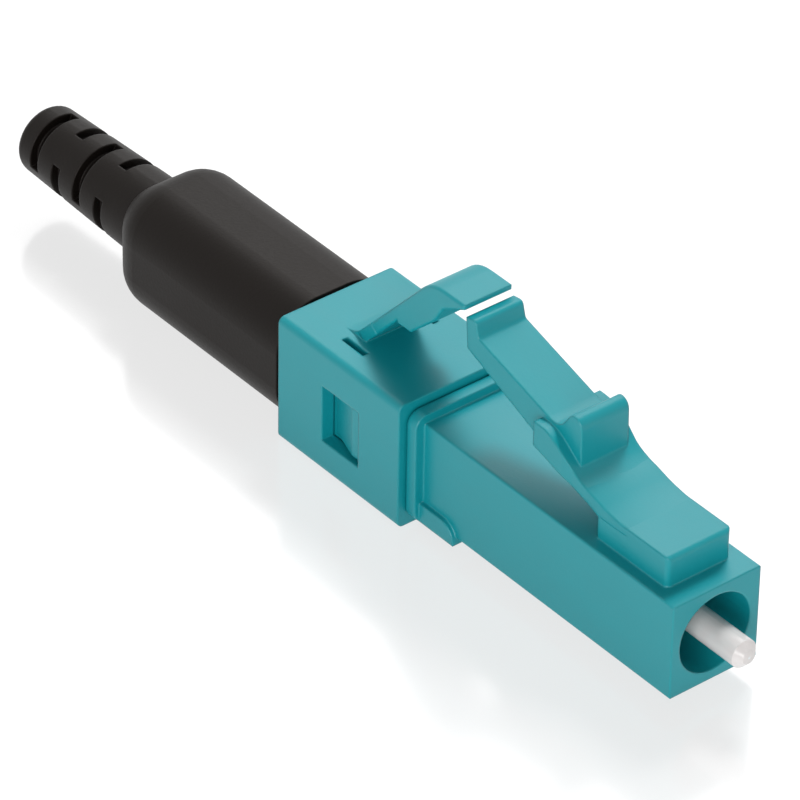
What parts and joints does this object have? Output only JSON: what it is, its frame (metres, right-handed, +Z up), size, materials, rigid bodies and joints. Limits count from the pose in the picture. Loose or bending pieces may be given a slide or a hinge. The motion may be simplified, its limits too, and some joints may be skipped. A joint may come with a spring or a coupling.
{
  "type": "field-installable fibre connector",
  "caption": "Small field-installable fibre connector plug with a white ferrule, a pressable latch and trigger, a cam-locked splice inside and a black slotted strain relief boot.",
  "frame": {"origin": "centre of the plug's front face, on the axis of the ferrule", "axes": "+X along the ferrule towards its tip, +Z up on the side of the latch, +Y across the plug"},
  "size_m": [0.0455, 0.006, 0.0111],
  "materials": {
    "aqua_plastic": "satin",
    "boot_rubber": "satin",
    "ceramic": "polished",
    "glass_fibre": "polished",
    "clear_plastic": "gloss",
    "white_plastic": "satin",
    "spring_steel": "drawn wire",
    "nickel_brass": "nickel plated, satin",
    "aluminium": "satin"
  },
  "bodies": {
    "housing": {"front_housing": "aqua_plastic", "rear_clip": "aqua_plastic", "spring_retainer": "nickel_brass", "coil_spring": "spring_steel", "rear_body": "white_plastic", "crimp_sleeve": "nickel_brass"},
    "latch": {"latch_lever": "aqua_plastic"},
    "trigger": {"trigger_arm": "aqua_plastic"},
    "ferrule_group": {"ferrule": "ceramic", "fibre_stub": "glass_fibre", "ferrule_holder": "nickel_brass", "splice_housing": "clear_plastic", "splice_base": "clear_plastic", "splice_lid": "clear_plastic", "lead_in_funnel": "white_plastic", "buffer_crimp_tube": "aluminium"},
    "cam": {"cam_ring": "white_plastic"},
    "boot": {"boot": "boot_rubber"}
  },
  "joints": [
    {"name": "trigger_flex", "type": "hinge", "parent": "housing", "child": "trigger", "pos_m": [-0.0199, 0, 0.00348], "axis": [0, 1, 0], "range_deg": [0, 12], "stiffness_Nm_per_rad": 0.05},
    {"name": "latch_flex", "type": "hinge", "parent": "housing", "child": "latch", "pos_m": [-0.0052, 0, 0.00359], "axis": [0, -1, 0], "range_deg": [0, 9.6]},
    {"name": "ferrule_float", "type": "slide", "parent": "housing", "child": "ferrule_group", "axis": [-1, 0, 0], "range_m": [0, 0.001], "stiffness_N_per_m": 900, "springref_m": -0.0055, "deforming": ["coil_spring"]},
    {"name": "cam_turn", "type": "hinge", "parent": "ferrule_group", "child": "cam", "pos_m": [-0.019, 0, 0], "axis": [-1, 0, 0], "range_deg": [0, 90]},
    {"name": "boot_slide", "type": "slide", "parent": "housing", "child": "boot", "axis": [-1, 0, 0], "range_m": [0, 0.015]}
  ],
  "couplings": [
    {"joint": "latch_flex", "follows": "trigger_flex", "ratio": 0.8}
  ]
}
